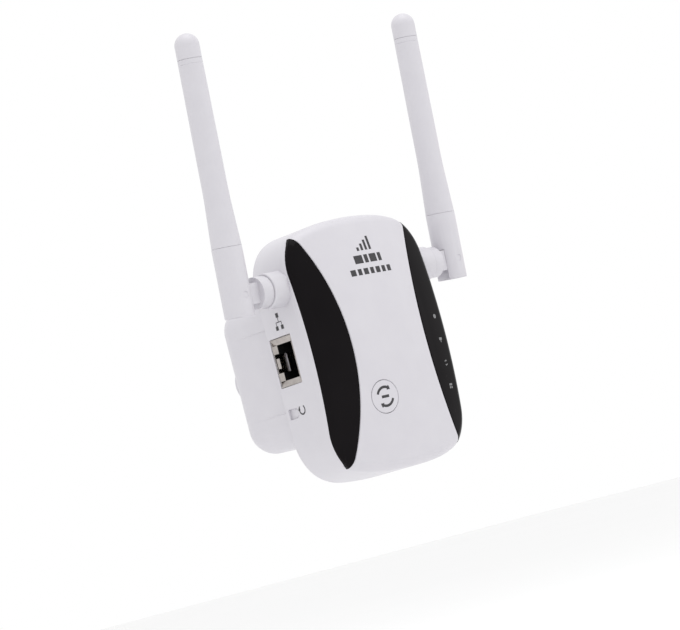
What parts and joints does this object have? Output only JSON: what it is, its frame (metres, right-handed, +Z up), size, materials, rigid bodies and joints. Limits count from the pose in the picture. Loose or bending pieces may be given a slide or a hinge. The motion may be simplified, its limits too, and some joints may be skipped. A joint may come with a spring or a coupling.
{
  "type": "wifi range extender",
  "caption": "White plug-in wireless range extender with black side panels, a network socket, push buttons and folding antennas.",
  "frame": {"origin": "middle of the plug face, between the two blades, where the object meets the wall socket", "axes": "+X to the right seen from the front, +Y towards the wall along the blades, +Z up along the antennas"},
  "size_m": [0.1074, 0.0735, 0.1518],
  "materials": {
    "shell_plastic": "satin",
    "panel_black": "polished",
    "nickel": "satin",
    "steel": "satin",
    "black_plastic": "matte",
    "gold": "polished",
    "main_board_green": "gloss",
    "power_board_tan": "matte",
    "transformer_tape": "gloss",
    "coil_brown": "gloss",
    "resistor_body": "matte",
    "wire_red": "gloss",
    "lead_grey": "matte",
    "lamp": "gloss",
    "clear_guide": "clear",
    "label_paper": "matte"
  },
  "bodies": {
    "main_body": {"front_shell": "shell_plastic", "rear_housing": "shell_plastic", "left_panel": "panel_black", "right_panel": "panel_black", "plug_carrier": "shell_plastic", "mains_blades": "nickel", "mains_wires": "wire_red", "rating_label": "label_paper", "housing_screws": "steel", "main_board": "main_board_green", "board_screws": "steel", "processor": "black_plastic", "memory_chip": "black_plastic", "shield_can": "nickel", "crystal": "nickel", "wps_switch": "black_plastic", "reset_switch": "black_plastic", "status_leds": "lamp", "light_guide": "clear_guide", "antenna_connectors": "gold", "left_lead": "lead_grey", "right_lead": "lead_grey", "lan_jack_shield": "nickel", "lan_jack_insert": "black_plastic", "lan_jack_contacts": "gold", "lan_transformer": "black_plastic", "link_wires": "wire_red", "power_board": "power_board_tan", "power_transformer": "transformer_tape", "mains_capacitors": "black_plastic", "output_capacitors": "black_plastic", "bridge_rectifier": "black_plastic", "fusible_resistor": "resistor_body", "filter_coil": "coil_brown", "optocoupler": "black_plastic"},
    "front_button": {"wps_button": "shell_plastic"},
    "reset_key": {"reset_button": "shell_plastic"},
    "left_swivel_arm": {"left_swivel": "shell_plastic", "left_swivel_clip": "steel"},
    "left_antenna": {"left_hinge_pin": "shell_plastic", "left_antenna_base": "shell_plastic", "left_antenna_sleeve": "shell_plastic", "left_antenna_cap": "shell_plastic", "left_radiator": "gold"},
    "right_swivel_arm": {"right_swivel": "shell_plastic", "right_swivel_clip": "steel"},
    "right_antenna": {"right_hinge_pin": "shell_plastic", "right_antenna_base": "shell_plastic", "right_antenna_sleeve": "shell_plastic", "right_antenna_cap": "shell_plastic", "right_radiator": "gold"}
  },
  "joints": [
    {"name": "left_antenna_swivel", "type": "hinge", "parent": "main_body", "child": "left_swivel_arm", "pos_m": [-0.0367, -0.042, 0.0249], "axis": [1, 0, 0], "range_deg": [-95.3, 84.7]},
    {"name": "left_antenna_fold", "type": "hinge", "parent": "left_swivel_arm", "child": "left_antenna", "pos_m": [-0.0487, -0.042, 0.0249], "axis": [0, -0.9957, -0.0924], "range_deg": [0, 90]},
    {"name": "right_antenna_swivel", "type": "hinge", "parent": "main_body", "child": "right_swivel_arm", "pos_m": [0.0367, -0.042, 0.0249], "axis": [1, 0, 0], "range_deg": [-95.3, 84.7]},
    {"name": "right_antenna_fold", "type": "hinge", "parent": "right_swivel_arm", "child": "right_antenna", "pos_m": [0.0487, -0.042, 0.0249], "axis": [0, 0.9957, 0.0924], "range_deg": [0, 90]},
    {"name": "wps_button_press", "type": "slide", "parent": "main_body", "child": "front_button", "axis": [0, 1, 0], "range_m": [0, 0.0005], "stiffness_N_per_m": 1500},
    {"name": "reset_button_press", "type": "slide", "parent": "main_body", "child": "reset_key", "axis": [1, 0, 0], "range_m": [0, 0.0004], "stiffness_N_per_m": 1500}
  ]
}
